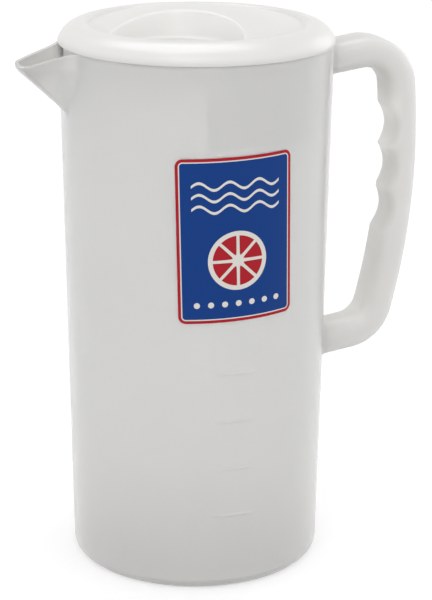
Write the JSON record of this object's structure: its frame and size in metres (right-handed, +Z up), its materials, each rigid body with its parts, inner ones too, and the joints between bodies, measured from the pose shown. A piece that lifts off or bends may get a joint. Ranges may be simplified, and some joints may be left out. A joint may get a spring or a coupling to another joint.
{
  "type": "lidded pitcher",
  "caption": "Tapered translucent plastic pitcher with a pouring spout, a finger-grip handle, raised measuring marks, a stuck-on label and a lift-off lid that plugs into the mouth.",
  "frame": {"origin": "on the jug's axis, in the plane of the foot ring it stands on", "axes": "+Z up along the jug's axis, +X towards the handle, -X towards the spout, -Y towards the label and the measuring marks"},
  "size_m": [0.1826, 0.1208, 0.2513],
  "materials": {
    "jug_plastic": "satin, translucent",
    "lid_plastic": "smooth",
    "label_film": "smooth printed film"
  },
  "bodies": {
    "jug": {"jug_body": "jug_plastic", "handle": "jug_plastic", "label": "label_film"},
    "lid": {"lid": "lid_plastic"}
  },
  "joints": [
    {"name": "lid_lift", "type": "slide", "parent": "jug", "child": "lid", "axis": [0, 0, 1], "range_m": [0, 0.06]}
  ]
}
